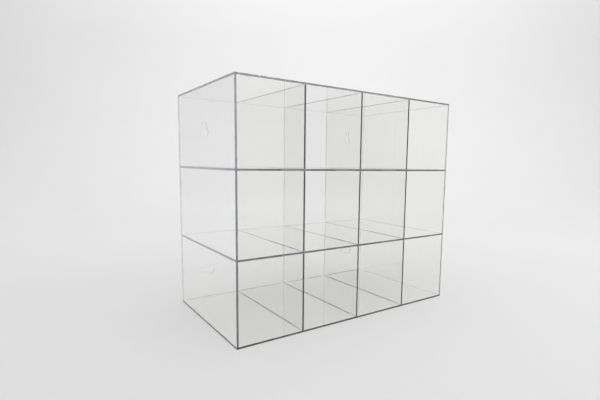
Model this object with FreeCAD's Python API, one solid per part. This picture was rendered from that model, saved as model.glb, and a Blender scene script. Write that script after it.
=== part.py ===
import FreeCAD, Part
import os

# A clear plastic eyeglasses display stand: an open-fronted case of twelve equal
# compartments, built up from flat sheets that are cemented edge to face. The
# three uprights and the two shelves are slotted half way and cross each other
# like the dividers of an egg box. The back sheet has keyholes for hanging.
#
# Frame: millimetres, +Z up, the open front faces -Y, and the origin is at the
# centre of the footprint, on the surface that the stand rests on.

# Driving dimensions
WIDTH = 457.2
DEPTH = 254.0
HEIGHT = 393.7
SHEET = 3.175
COLUMNS = 4
ROWS = 3

# The halving slots, where uprights and shelves cross
SLOT_CLEARANCE = 0.3

# The keyholes in the back sheet
KEYHOLE_ROUND_RADIUS = 7.9375
KEYHOLE_SLOT_RADIUS = 3.96875
KEYHOLE_TRAVEL = 15.875
KEYHOLE_FROM_SIDE = 50.8
KEYHOLE_FROM_END = 57.15

# Thin solvent cement is drawn into each joint, so a cemented edge stops this
# far short of the face that it is cemented to
CEMENT_FILM = 0.08

# Edges that a hand can touch are eased
EDGE_EASE = 0.4
RIM_EASE = 0.3

# Places worked out from the sizes above
LEFT = -WIDTH / 2
RIGHT = WIDTH / 2
FRONT = -DEPTH / 2
BACK = DEPTH / 2
BACK_SHEET_FRONT = BACK - SHEET
MIDDLE = (FRONT + BACK_SHEET_FRONT) / 2
FLOOR = SHEET
CEILING = HEIGHT - SHEET
INNER_LEFT = LEFT + SHEET
INNER_RIGHT = RIGHT - SHEET
COLUMN_WIDTH = (INNER_RIGHT - INNER_LEFT - (COLUMNS - 1) * SHEET) / COLUMNS
ROW_HEIGHT = (CEILING - FLOOR - (ROWS - 1) * SHEET) / ROWS
UPRIGHT_SPAN = (FLOOR + CEMENT_FILM, CEILING - CEMENT_FILM)
SHELF_SPAN = (INNER_LEFT + CEMENT_FILM, INNER_RIGHT - CEMENT_FILM)
DEPTH_SPAN = (FRONT, BACK_SHEET_FRONT - CEMENT_FILM)
NEARLY = 1e-4


def box(x_range, y_range, z_range):
    """A block between two corners, given as a range along each axis."""
    low = FreeCAD.Vector(x_range[0], y_range[0], z_range[0])
    size = [high - start for start, high in (x_range, y_range, z_range)]
    return Part.makeBox(size[0], size[1], size[2], low)


def divider_left_face(number):
    """X of the left face of an upright divider, counted from 1 at the left."""
    return INNER_LEFT + number * COLUMN_WIDTH + (number - 1) * SHEET


def shelf_underside(number):
    """Z of the underside of a shelf, counted from 1 at the bottom."""
    return FLOOR + number * ROW_HEIGHT + (number - 1) * SHEET


def front_edges(solid, direction):
    """The straight edges of a solid's front face that run along one axis."""
    front = solid.BoundBox.YMin
    chosen = []
    for edge in solid.Edges:
        run = edge.Vertexes[-1].Point.sub(edge.Vertexes[0].Point)
        if edge.BoundBox.YMax < front + NEARLY and run.cross(direction).Length < NEARLY:
            chosen.append(edge)
    return chosen


def eased_front(solid, direction):
    """A sheet whose two long front arrises, along one axis, are rounded."""
    return solid.makeFillet(EDGE_EASE, front_edges(solid, direction))


def cap_panel(z_low):
    """The top or bottom sheet, which covers the ends of all the upright ones."""
    sheet = box((LEFT, RIGHT), (FRONT, BACK), (z_low, z_low + SHEET))
    return sheet.makeFillet(EDGE_EASE, sheet.Edges)


def side_panel(x_left):
    """A side sheet, from the bottom sheet to the top one, in front of the back."""
    x_range = (x_left, x_left + SHEET)
    sheet = box(x_range, DEPTH_SPAN, UPRIGHT_SPAN)
    return eased_front(sheet, FreeCAD.Vector(0, 0, 1))


def halving_slot(x_range, z_range, toward_front):
    """The cutter for one halving slot, open at the front or at the back end."""
    half_gap = SLOT_CLEARANCE / 2
    if toward_front:
        y_range = (FRONT - SHEET, MIDDLE + half_gap)
    else:
        y_range = (MIDDLE - half_gap, BACK)
    return box(x_range, y_range, z_range)


def widened(start, thickness):
    """The range of a slot that takes a sheet of this thickness with clearance."""
    half_gap = SLOT_CLEARANCE / 2
    return (start - half_gap, start + thickness + half_gap)


def shelf(number):
    """A shelf across all the columns, slotted from the back for each divider."""
    z_low = shelf_underside(number)
    z_range = (z_low, z_low + SHEET)
    sheet = box(SHELF_SPAN, DEPTH_SPAN, z_range)
    for column in range(1, COLUMNS):
        x_range = widened(divider_left_face(column), SHEET)
        sheet = sheet.cut(halving_slot(x_range, widened(z_low, SHEET), toward_front=False))
    return eased_front(sheet, FreeCAD.Vector(1, 0, 0))


def divider(number):
    """An upright divider through all the rows, slotted from the front for each shelf."""
    x_left = divider_left_face(number)
    x_range = (x_left, x_left + SHEET)
    sheet = box(x_range, DEPTH_SPAN, UPRIGHT_SPAN)
    for row in range(1, ROWS):
        z_range = widened(shelf_underside(row), SHEET)
        sheet = sheet.cut(halving_slot(widened(x_left, SHEET), z_range, toward_front=True))
    return eased_front(sheet, FreeCAD.Vector(0, 0, 1))


def keyhole(center_x, center_z, toward):
    """A keyhole cutter through the back sheet, centred between its two ends.

    toward points from the round end, which passes a screw's head, to the end
    of the slot, which holds its shank.
    """
    depth = FreeCAD.Vector(0, 3 * SHEET, 0)
    start = FreeCAD.Vector(center_x, BACK_SHEET_FRONT - SHEET, center_z)
    round_end = start - toward * (KEYHOLE_TRAVEL / 2)
    slot_end = start + toward * (KEYHOLE_TRAVEL / 2)
    hole = Part.makeCylinder(KEYHOLE_ROUND_RADIUS, depth.Length, round_end, depth)
    slot = Part.makeCylinder(KEYHOLE_SLOT_RADIUS, depth.Length, slot_end, depth)
    across = toward.cross(FreeCAD.Vector(0, 1, 0)) * KEYHOLE_SLOT_RADIUS
    corners = [round_end + across, slot_end + across, slot_end - across, round_end - across]
    waist = Part.Face(Part.makePolygon(corners + corners[:1])).extrude(depth)
    return hole.fuse([slot, waist]).removeSplitter()


def keyhole_rims(sheet):
    """The edges round the keyholes in a sheet's front and back faces."""
    rims = []
    for edge in sheet.Edges:
        bounds = edge.BoundBox
        flat = bounds.YLength < NEARLY
        inside = bounds.XMin > LEFT + SHEET and bounds.XMax < RIGHT - SHEET
        if flat and inside and bounds.ZMin > FLOOR + SHEET and bounds.ZMax < CEILING - SHEET:
            rims.append(edge)
    return rims


def back_panel():
    """The back sheet, between the top and bottom ones, behind all the others."""
    sheet = box((LEFT, RIGHT), (BACK_SHEET_FRONT, BACK), UPRIGHT_SPAN)
    upward = FreeCAD.Vector(0, 0, 1)
    to_the_left = FreeCAD.Vector(-1, 0, 0)
    for side in (-1, 1):
        center_x = side * (WIDTH / 2 - KEYHOLE_FROM_SIDE)
        sheet = sheet.cut(keyhole(center_x, HEIGHT - KEYHOLE_FROM_END, upward))
        sheet = sheet.cut(keyhole(center_x, KEYHOLE_FROM_END, to_the_left))
    outer = []
    for edge in sheet.Edges:
        bounds = edge.BoundBox
        upright = bounds.ZLength > UPRIGHT_SPAN[1] - UPRIGHT_SPAN[0] - NEARLY
        if upright and bounds.YMin > BACK - NEARLY:
            outer.append(edge)
    sheet = sheet.makeFillet(EDGE_EASE, outer)
    return sheet.makeChamfer(RIM_EASE, keyhole_rims(sheet))


def parts():
    """Every sheet of the stand, by name."""
    made = {
        "bottom_panel": cap_panel(0),
        "top_panel": cap_panel(CEILING),
        "left_side": side_panel(LEFT),
        "right_side": side_panel(INNER_RIGHT),
        "back_panel": back_panel(),
        "lower_shelf": shelf(1),
        "upper_shelf": shelf(2),
        "left_divider": divider(1),
        "middle_divider": divider(2),
        "right_divider": divider(3),
    }
    return made


os.makedirs("parts", exist_ok=True)
for name, solid in parts().items():
    solid.exportStep("parts/" + name + ".step")
    print(name, solid.isValid(), len(solid.Solids), len(solid.Faces), round(solid.Volume, 1))
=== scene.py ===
import math
import random

import bmesh
import bpy
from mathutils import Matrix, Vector


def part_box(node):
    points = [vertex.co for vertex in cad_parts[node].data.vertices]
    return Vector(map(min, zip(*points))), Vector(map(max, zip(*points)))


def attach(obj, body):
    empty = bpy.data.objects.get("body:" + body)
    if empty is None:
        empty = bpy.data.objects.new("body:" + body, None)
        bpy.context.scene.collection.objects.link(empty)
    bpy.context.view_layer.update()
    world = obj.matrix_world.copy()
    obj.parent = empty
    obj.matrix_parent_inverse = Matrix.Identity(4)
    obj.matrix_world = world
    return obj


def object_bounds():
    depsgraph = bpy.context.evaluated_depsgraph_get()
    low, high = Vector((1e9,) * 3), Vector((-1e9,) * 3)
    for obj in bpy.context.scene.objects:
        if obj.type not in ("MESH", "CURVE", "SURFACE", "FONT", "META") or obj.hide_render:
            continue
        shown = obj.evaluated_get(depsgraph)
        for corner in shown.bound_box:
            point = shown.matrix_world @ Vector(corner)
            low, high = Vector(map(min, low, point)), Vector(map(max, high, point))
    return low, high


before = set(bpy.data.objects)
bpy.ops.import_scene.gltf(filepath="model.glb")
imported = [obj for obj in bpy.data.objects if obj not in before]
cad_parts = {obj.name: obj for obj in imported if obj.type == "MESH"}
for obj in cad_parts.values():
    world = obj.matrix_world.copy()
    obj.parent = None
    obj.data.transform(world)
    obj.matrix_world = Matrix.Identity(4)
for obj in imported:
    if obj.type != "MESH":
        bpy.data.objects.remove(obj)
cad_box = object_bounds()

# The stand is clear sheet, so its look comes from how light bends through it: the
# broad faces only gleam, the cut edges gather what light runs inside the sheet and
# read as dark lines, and each cemented joint draws a fine line.
#
# Lengths are in metres, and x, y and z are axes 0, 1 and 2.

scene = bpy.context.scene
scene.view_settings.view_transform = "Standard"

# Light crosses a sheet by bouncing between its faces, some thirty times for each
# 250 mm, and a look through the whole stand passes a dozen faces.
CLEAR_BOUNCES = 200
scene.cycles.max_bounces = CLEAR_BOUNCES
scene.cycles.transmission_bounces = CLEAR_BOUNCES
scene.cycles.glossy_bounces = CLEAR_BOUNCES
scene.cycles.transparent_max_bounces = 64
scene.cycles.diffuse_bounces = 4

LOW, HIGH = (Vector(corner) for corner in cad_box)
MIDDLE = (LOW + HIGH) / 2
ACROSS = (LOW.x, HIGH.x)
UP = (LOW.z, HIGH.z)


# ---------------------------------------------------------------- materials

class Nodes:
    """A small helper that builds a material's node tree from calls."""

    def __init__(self, name):
        self.material = bpy.data.materials.new(name)
        self.material.use_nodes = True
        self.tree = self.material.node_tree
        self.tree.nodes.clear()
        self.output = self.add("ShaderNodeOutputMaterial")

    def add(self, kind, values=None, **settings):
        """A node; values are socket defaults or the sockets that feed them."""
        node = self.tree.nodes.new(kind)
        for key, value in settings.items():
            setattr(node, key, value)
        for key, value in (values or {}).items():
            self.put(node.inputs[key], value)
        return node

    def put(self, socket, value):
        if isinstance(value, bpy.types.NodeSocket):
            self.tree.links.new(value, socket)
        else:
            socket.default_value = value

    def math(self, operation, first, second=0.0, third=0.0):
        node = self.add("ShaderNodeMath", operation=operation)
        for socket, value in zip(node.inputs, (first, second, third)):
            self.put(socket, value)
        return node.outputs[0]

    def ramp(self, value, low, high, to_low=0.0, to_high=1.0):
        """A value eased from to_low at low to to_high at high."""
        values = {"Value": value, "From Min": low, "From Max": high, "To Min": to_low, "To Max": to_high}
        return self.add("ShaderNodeMapRange", values, interpolation_type="SMOOTHSTEP").outputs[0]

    def between(self, factor, first, second):
        """A value between two."""
        return self.add("ShaderNodeMix", {0: factor, 2: first, 3: second}, data_type="FLOAT").outputs[0]

    def blend(self, factor, first, second):
        """A colour between two."""
        node = self.add("ShaderNodeMix", data_type="RGBA")
        for number, value in ((0, factor), (6, first), (7, second)):
            self.put(node.inputs[number], value)
        return node.outputs[2]

    def mix(self, factor, first, second):
        """A shader between two."""
        return self.add("ShaderNodeMixShader", {0: factor, 1: first, 2: second}).outputs[0]

    def noise(self, coordinates, scale, detail=3.0, roughness=0.5):
        values = {"Vector": coordinates, "Scale": scale, "Detail": detail, "Roughness": roughness}
        return self.add("ShaderNodeTexNoise", values).outputs[0]

    def stretched(self, coordinates, scale):
        return self.add("ShaderNodeMapping", {"Vector": coordinates, "Scale": scale}).outputs[0]

    def bump(self, height, strength, distance, normal=None):
        values = {"Height": height, "Strength": strength, "Distance": distance}
        if normal is not None:
            values["Normal"] = normal
        return self.add("ShaderNodeBump", values).outputs[0]

    def finish(self, shader):
        self.put(self.output.inputs["Surface"], shader)
        return self.material


# What one broad face lets by, and how much duller it is where there is haze
FACE_TINT = (0.960, 0.961, 0.952, 1.0)
FACE_HAZE = (0.994, 0.994, 0.994, 1.0)
# What one face lets by of the light on its way to the paper
STRAIGHT_TINT = (0.960, 0.961, 0.958, 1.0)
# What the plastic itself takes away, in each metre that light runs inside it
INSIDE_COLOR = (0.53, 0.53, 0.58, 1.0)
INSIDE_DENSITY = 2.0
PLASTIC_IOR = 1.49

# How square a face stands to an axis, from not at all to fully
CUT_FACING = (0.45, 0.80)
FRONT_FACING = (0.30, 0.70)

# Saw marks, by scale along the sheet's thickness and by scale the other ways
STROKE_LENGTH_SCALE = 18.0
STROKE_WIDTH_SCALE = 900.0

FROST_LIGHT = (0.93, 0.93, 0.93, 1.0)
FROST_DARK = (0.80, 0.80, 0.80, 1.0)
CEMENT_TINT = (0.62, 0.62, 0.60, 1.0)
CEMENT_TINT_DEEP = (0.40, 0.40, 0.39, 1.0)
CEMENT_IOR = 1.45
PAPER_DARK = (0.80, 0.80, 0.80, 1.0)
PAPER_LIGHT = (0.84, 0.84, 0.84, 1.0)


def lets_light_by(nodes, clear):
    """A clear shader that light on its way to the paper crosses straight, as it all
    but does, so that the paper under the stand is lit."""
    path = nodes.add("ShaderNodeLightPath").outputs
    passes = nodes.add("ShaderNodeBsdfTransparent", {"Color": STRAIGHT_TINT}).outputs[0]
    return nodes.mix(path["Is Shadow Ray"], nodes.mix(path["Is Diffuse Ray"], clear, passes), passes)


def grey(nodes, value, lilac):
    """A colour from a grey value, leaning to lilac."""
    blue = nodes.math("MULTIPLY", value, 1.0 + lilac)
    return nodes.add("ShaderNodeCombineColor", {"Red": value, "Green": value, "Blue": blue}).outputs[0]


def clear_sheet(name, thin, span, clear, ends, lilac, face, rims):
    """Clear extruded sheet. thin is its thin axis, by number. clear is the painted
    shade of its front and back edges, how much light they let by at the low and the
    high end of span, a stretch of its long axis, and ends is the painted shade of its
    other edges; both stand in for the light the edges gather inside the sheet. face is
    the tint of its broad faces, lighter on some sheets as painted light. rims, if any,
    is the box that holds its machined holes."""
    nodes = Nodes(name)
    coordinates = nodes.add("ShaderNodeTexCoord").outputs
    here, normal = coordinates["Object"], coordinates["Normal"]
    place = nodes.add("ShaderNodeSeparateXYZ", {0: here}).outputs
    ways = nodes.add("ShaderNodeSeparateXYZ", {0: normal}).outputs
    cut = nodes.ramp(nodes.math("ABSOLUTE", ways[thin]), *CUT_FACING, 1.0, 0.0)
    front = nodes.ramp(nodes.math("ABSOLUTE", ways[1]), *FRONT_FACING)
    long_axis = 2 if thin == 0 else 0

    # The cut edges: fine marks of the saw and scraper, left by a quick polish, over
    # a painted shade that darkens each edge along its length and from sheet to sheet
    scales = [STROKE_LENGTH_SCALE if axis == thin else STROKE_WIDTH_SCALE for axis in range(3)]
    strokes = nodes.noise(nodes.stretched(here, scales), 1.0, 4.0, 0.65)
    patches = nodes.noise(here, 22.0, 2.0)
    marks = nodes.math("MULTIPLY_ADD", patches, 0.5, nodes.math("MULTIPLY", strokes, 0.5))
    # Painted shade: a ramp along the front and back edges and a flat level on the others, standing in
    # for the light each edge gathers inside the sheet
    painted_shade_along_edge = nodes.add("ShaderNodeMapRange", {
        "Value": place[long_axis], "From Min": span[0], "From Max": span[1],
        "To Min": clear[0], "To Max": clear[1],
    }).outputs[0]
    painted_edge_shade = nodes.between(front, ends, painted_shade_along_edge)
    uneven = nodes.ramp(marks, 0.35, 0.65, 1.08, 0.90)
    edge_shade_and_saw_marks = grey(nodes, nodes.math("MULTIPLY", painted_edge_shade, uneven), lilac)
    edge_rough = nodes.ramp(marks, 0.3, 0.7, 0.02, 0.09)

    # The broad faces: nearly even, with the faint waves of a rolled sheet and a
    # little haze where the stand is handled and wiped
    waves = nodes.noise(here, 9.0, 1.0)
    haze = nodes.noise(here, 14.0, 5.0, 0.6)
    face_hazy = [channel * dull for channel, dull in zip(face, FACE_HAZE)]
    face_color = nodes.blend(nodes.ramp(haze, 0.35, 0.7), face, face_hazy)
    face_rough = nodes.ramp(haze, 0.45, 0.8, 0.0, 0.006)

    swell = nodes.bump(waves, 0.25, 0.0004)
    grain = nodes.bump(strokes, nodes.math("MULTIPLY", cut, 0.12), 0.00006, swell)
    glass = nodes.add("ShaderNodeBsdfPrincipled", {
        "Base Color": nodes.blend(cut, face_color, edge_shade_and_saw_marks),
        "Roughness": nodes.between(cut, face_rough, edge_rough),
        "IOR": PLASTIC_IOR, "Transmission Weight": 1.0, "Normal": grain,
    }).outputs[0]
    if rims:
        glass = frosted_rims(nodes, glass, here, place, cut, rims)
    absorb = nodes.add("ShaderNodeVolumeAbsorption", {"Color": INSIDE_COLOR, "Density": INSIDE_DENSITY})
    nodes.put(nodes.output.inputs["Volume"], absorb.outputs[0])
    return nodes.finish(lets_light_by(nodes, glass))


def frosted_rims(nodes, glass, here, place, cut, rims):
    """Milled holes: their walls are left matt and white from the cutter."""
    inside = cut
    for axis in (0, 2):
        for way in (1.0, -1.0):
            limit = rims[1][axis] if way > 0 else -rims[0][axis]
            held = nodes.math("LESS_THAN", nodes.math("MULTIPLY", place[axis], way), limit)
            inside = nodes.math("MULTIPLY", inside, held)
    ridges = nodes.noise(here, 1500.0, 3.0, 0.7)
    frost = nodes.add("ShaderNodeBsdfPrincipled", {
        "Base Color": nodes.blend(ridges, FROST_LIGHT, FROST_DARK),
        "Roughness": 0.45, "Normal": nodes.bump(ridges, 0.5, 0.0001),
    }).outputs[0]
    share = nodes.ramp(ridges, 0.35, 0.6, 0.1, 0.5)
    return nodes.mix(nodes.math("MULTIPLY", inside, share), glass, frost)


def cement():
    """Cured solvent cement: clear, a little dull, with fine bubbles."""
    nodes = Nodes("cement")
    here = nodes.add("ShaderNodeTexCoord").outputs["Object"]
    bubbles = nodes.noise(here, 420.0, 4.0, 0.7)
    clear = nodes.add("ShaderNodeBsdfPrincipled", {
        "Base Color": nodes.blend(nodes.ramp(bubbles, 0.35, 0.65), CEMENT_TINT, CEMENT_TINT_DEEP),
        "Roughness": nodes.ramp(bubbles, 0.3, 0.7, 0.04, 0.22),
        "IOR": CEMENT_IOR, "Transmission Weight": 1.0, "Normal": nodes.bump(bubbles, 0.3, 0.0001),
    }).outputs[0]
    return nodes.finish(lets_light_by(nodes, clear))


def paper():
    """Matt white background paper."""
    nodes = Nodes("paper")
    here = nodes.add("ShaderNodeTexCoord").outputs["Object"]
    tone = nodes.noise(here, 1.3, 3.0)
    return nodes.finish(nodes.add("ShaderNodeBsdfPrincipled", {
        "Base Color": nodes.blend(tone, PAPER_DARK, PAPER_LIGHT),
        "Roughness": 0.8, "Specular IOR Level": 0.2,
        "Normal": nodes.bump(nodes.noise(here, 900.0, 2.0), 0.08, 0.0005),
    }).outputs[0])


# ------------------------------------------------------------------- stage

# The turn of the view about the upright axis, and the camera
VIEW_TURN = math.radians(-35.4)
CAMERA_PLACE = (-0.4645, -0.6619, 0.2716)
CAMERA_ANGLES = (83.35, -0.83, -35.44)
CAMERA_LENS = 24.68
CAMERA_SENSOR = 36.0
CAMERA_SHIFT = (-0.034, 0.0197)

# The paper, in the view's own directions; it lies just under the stand
SWEEP_FRONT = -9.0
SWEEP_BACK = 2.6
SWEEP_TOP = 5.0
SWEEP_HALF_WIDTH = 14.0
SWEEP_RADIUS = 1.3
SWEEP_STEPS = 24
SWEEP_LEVEL = -0.0004

WORLD_COLOR = (1.0, 1.0, 1.0, 1.0)
WORLD_STRENGTH = 0.67


def turned(across, away, up):
    """A place given across, away from and above the view's own line."""
    return (
        across * math.cos(VIEW_TURN) - away * math.sin(VIEW_TURN),
        across * math.sin(VIEW_TURN) + away * math.cos(VIEW_TURN),
        up,
    )


def new_object(name, mesh):
    """An object in the scene that holds a finished bmesh."""
    data = bpy.data.meshes.new(name)
    mesh.to_mesh(data)
    mesh.free()
    item = bpy.data.objects.new(name, data)
    scene.collection.objects.link(item)
    return item


def sweep():
    """A seamless sweep of pale paper: a floor that curves up into a backdrop."""
    bend = SWEEP_BACK - SWEEP_RADIUS
    profile = [(SWEEP_FRONT, SWEEP_LEVEL), (bend, SWEEP_LEVEL)]
    for step in range(1, SWEEP_STEPS + 1):
        turn = math.pi / 2 * step / SWEEP_STEPS
        rise = SWEEP_RADIUS * (1 - math.cos(turn))
        profile.append((bend + SWEEP_RADIUS * math.sin(turn), SWEEP_LEVEL + rise))
    profile.append((SWEEP_BACK, SWEEP_TOP))
    mesh = bmesh.new()
    sides = (-SWEEP_HALF_WIDTH, SWEEP_HALF_WIDTH)
    rows = [[mesh.verts.new((x, y, z)) for x in sides] for y, z in profile]
    for near, far in zip(rows, rows[1:]):
        mesh.faces.new((near[0], near[1], far[1], far[0])).smooth = True
    item = new_object("sweep", mesh)
    item.data.materials.append(paper())
    item.rotation_euler = (0.0, 0.0, VIEW_TURN)
    return item


def soft_light(name, place, target, size, watts):
    """A rectangular light that the camera doesn't see itself."""
    light = bpy.data.lights.new(name, "AREA")
    light.shape = "RECTANGLE"
    light.size, light.size_y = size
    light.energy = watts
    item = bpy.data.objects.new(name, light)
    item.location = place
    item.rotation_euler = (Vector(target) - Vector(place)).to_track_quat("-Z", "Y").to_euler()
    item.visible_camera = False
    scene.collection.objects.link(item)
    return item


def add_camera():
    camera = bpy.data.cameras.new("camera")
    camera.sensor_width = CAMERA_SENSOR
    camera.lens = CAMERA_LENS
    camera.shift_x, camera.shift_y = CAMERA_SHIFT
    item = bpy.data.objects.new("camera", camera)
    item.location = CAMERA_PLACE
    item.rotation_euler = [math.radians(angle) for angle in CAMERA_ANGLES]
    scene.collection.objects.link(item)
    scene.camera = item


def add_world():
    world = bpy.data.worlds.new("studio")
    world.use_nodes = True
    inputs = world.node_tree.nodes["Background"].inputs
    inputs["Color"].default_value = WORLD_COLOR
    inputs["Strength"].default_value = WORLD_STRENGTH
    scene.world = world


add_camera()
sweep()
soft_light("key", turned(2.0, -0.8, 2.0), MIDDLE, (0.9, 0.9), 17.5)
soft_light("fill", turned(-1.8, -2.2, 1.4), turned(-0.5, 2.6, 1.2), (2.0, 2.0), 9.0)
# This one lights the backdrop alone, and must not show as a shape in the sheets
backdrop_light = soft_light(
    "backdrop_light", turned(0.0, 0.9, 2.8), turned(0.0, 2.6, 1.2), (4.2, 0.8), 30.0)
backdrop_light.visible_glossy = False
backdrop_light.visible_transmission = False
add_world()

# ------------------------------------------------------------------ sheets

BACK_LOW, BACK_HIGH = (Vector(corner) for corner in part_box("back_panel"))

# The sheets whose broad faces differ from FACE_TINT, made lighter than the rest
# of the same plastic as painted light
FACES_PAINTED_LIGHTER = {
    "bottom_panel": (0.975, 0.978, 0.965, 1.0),
    "left_side": (1.0, 1.0, 1.0, 1.0),
    "back_panel": (0.998, 0.998, 0.994, 1.0),
}

# The sheets with milled holes, and the box that holds them, well within the edges
RIM_MARGIN = Vector((0.02, 0.0, 0.02))
RIMS = {"back_panel": (BACK_LOW + RIM_MARGIN, BACK_HIGH - RIM_MARGIN)}

# Each sheet's thin axis by number, the stretch that its front edge changes over,
# the painted shade of that edge, as what light it lets by at the start and end of
# the stretch, the painted shade of its other edges, and their lean to lilac. The
# painted shade stands in for the light each edge gathers inside its sheet, so it
# changes along the edge and from sheet to sheet
SHEETS = {
    "bottom_panel": (2, ACROSS, (0.09, 0.15), 0.16, 0.00),
    "top_panel": (2, ACROSS, (0.40, 0.53), 0.84, 0.04),
    "lower_shelf": (2, ACROSS, (0.26, 0.31), 0.62, 0.04),
    "upper_shelf": (2, ACROSS, (0.39, 0.34), 0.95, 0.06),
    "left_side": (0, UP, (0.21, 0.57), 0.60, 0.18),
    "left_divider": (0, UP, (0.10, 0.165), 0.30, 0.50),
    "middle_divider": (0, UP, (0.11, 0.13), 0.24, 0.07),
    "right_divider": (0, UP, (0.005, 0.02), 0.12, 0.04),
    "right_side": (0, UP, (0.36, 0.80), 0.80, 0.00),
    "back_panel": (1, ACROSS, (0.90, 0.90), 0.90, 0.00),
}
for node_name, looks in SHEETS.items():
    face = FACES_PAINTED_LIGHTER.get(node_name, FACE_TINT)
    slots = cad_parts[node_name].data.materials
    slots.clear()
    slots.append(clear_sheet("clear_" + node_name, *looks, face, RIMS.get(node_name)))


# ------------------------------------------------------------ cement beads

UPRIGHTS = ("left_side", "left_divider", "middle_divider", "right_divider", "right_side")
LEVELS = ("bottom_panel", "lower_shelf", "upper_shelf", "top_panel")
LAST_COLUMN = len(UPRIGHTS) - 2
LAST_ROW = len(LEVELS) - 2
TO_RIGHT, TO_BACK, TO_TOP = Vector((1, 0, 0)), Vector((0, 1, 0)), Vector((0, 0, 1))

# How far apart a bead's sections are, the parts of a section's curve, the gap that
# keeps a bead off the sheets, and how far short of a corner it stops
BEAD_STEP = 0.009
BEAD_ARC = 4
BEAD_CLEAR = 0.00003
BEAD_END = 0.0012

# A bead's usual width along each sheet, by joint
DEPTH_LEGS = {"cement_floor": 0.0006, "cement_ceiling": 0.0003, "cement_slots": 0.00025}
SIDE_LEG = 0.0002
BACK_LEG = 0.00015
BACK_FLOOR_LEG = 0.0008


def compartments():
    """Each compartment's column, row, low corner and high corner."""
    uprights = [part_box(name) for name in UPRIGHTS]
    levels = [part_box(name) for name in LEVELS]
    for column, (left, right) in enumerate(zip(uprights, uprights[1:])):
        for row, (below, above) in enumerate(zip(levels, levels[1:])):
            low = Vector((left[1][0], LOW.y, below[1][2]))
            high = Vector((right[0][0], BACK_LOW.y, above[0][2]))
            yield column, row, low, high


def bead(mesh, start, end, sides, leg, chance):
    """A concave fillet of squeezed-out cement along a corner. sides are the two
    directions out of the corner along the sheets, and leg is its usual width."""
    steps = max(4, round((end - start).length / BEAD_STEP))
    first, second = sides
    base = (first + second) * BEAD_CLEAR
    rings = []
    for step in range(steps + 1):
        share = step / steps
        taper = min(1.0, 6.0 * min(share, 1.0 - share) + 0.25)
        width = leg * taper * chance.uniform(0.75, 1.2)
        spot = start.lerp(end, share) + base
        ring = [spot]
        for part in range(BEAD_ARC + 1):
            turn = math.pi / 2 * part / BEAD_ARC
            reach = first * (1 - math.sin(turn)) + second * (1 - math.cos(turn))
            ring.append(spot + reach * width)
        rings.append([mesh.verts.new(point) for point in ring])
    count = len(rings[0])
    for near, far in zip(rings, rings[1:]):
        for number in range(count):
            follow = (number + 1) % count
            strip = mesh.faces.new((near[number], near[follow], far[follow], far[number]))
            strip.smooth = 0 < number < count - 1
    mesh.faces.new(list(reversed(rings[0])))
    mesh.faces.new(rings[-1])


def corner_beads():
    """Every bead, as its two ends, its two sides and its width, by piece."""
    names = ("cement_floor", "cement_ceiling", "cement_sides", "cement_slots", "cement_back")
    beads = {name: [] for name in names}
    for column, row, low, high in compartments():
        corners_across = (
            (low.x, TO_RIGHT, column == 0),
            (high.x, -TO_RIGHT, column == LAST_COLUMN),
        )
        corners_up = (
            (low.z, TO_TOP, "cement_floor" if row == 0 else "cement_slots"),
            (high.z, -TO_TOP, "cement_ceiling" if row == LAST_ROW else "cement_slots"),
        )
        # Along the depth, in the front half alone where a shelf crosses a divider,
        # and up the back
        for x, inward, outer in corners_across:
            for z, away, piece in corners_up:
                start = Vector((x, low.y + 2 * BEAD_END, z))
                end = Vector((x, high.y - BEAD_END, z))
                if outer:
                    beads["cement_sides"].append((start, end, (inward, away), SIDE_LEG))
                    continue
                if piece == "cement_slots":
                    end.y = (low.y + high.y) / 2
                beads[piece].append((start, end, (inward, away), DEPTH_LEGS[piece]))
            start = Vector((x, high.y, low.z + BEAD_END))
            end = Vector((x, high.y, high.z - BEAD_END))
            beads["cement_back"].append((start, end, (inward, -TO_BACK), BACK_LEG))
        # Across the back, above and below
        for z, away, piece in corners_up:
            start = Vector((low.x + BEAD_END, high.y, z))
            end = Vector((high.x - BEAD_END, high.y, z))
            leg = BACK_FLOOR_LEG if piece == "cement_floor" else BACK_LEG
            beads["cement_back"].append((start, end, (away, -TO_BACK), leg))
    return beads


def cement_piece(name, material, beads):
    """One piece that holds the beads of one set of joints."""
    mesh = bmesh.new()
    chance = random.Random(name)
    for start, end, sides, leg in beads:
        bead(mesh, start, end, sides, leg, chance)
    bmesh.ops.recalc_face_normals(mesh, faces=mesh.faces)
    item = new_object(name, mesh)
    item.data.materials.append(material)
    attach(item, "root")


cement_look = cement()
for piece_name, piece_beads in corner_beads().items():
    cement_piece(piece_name, cement_look, piece_beads)
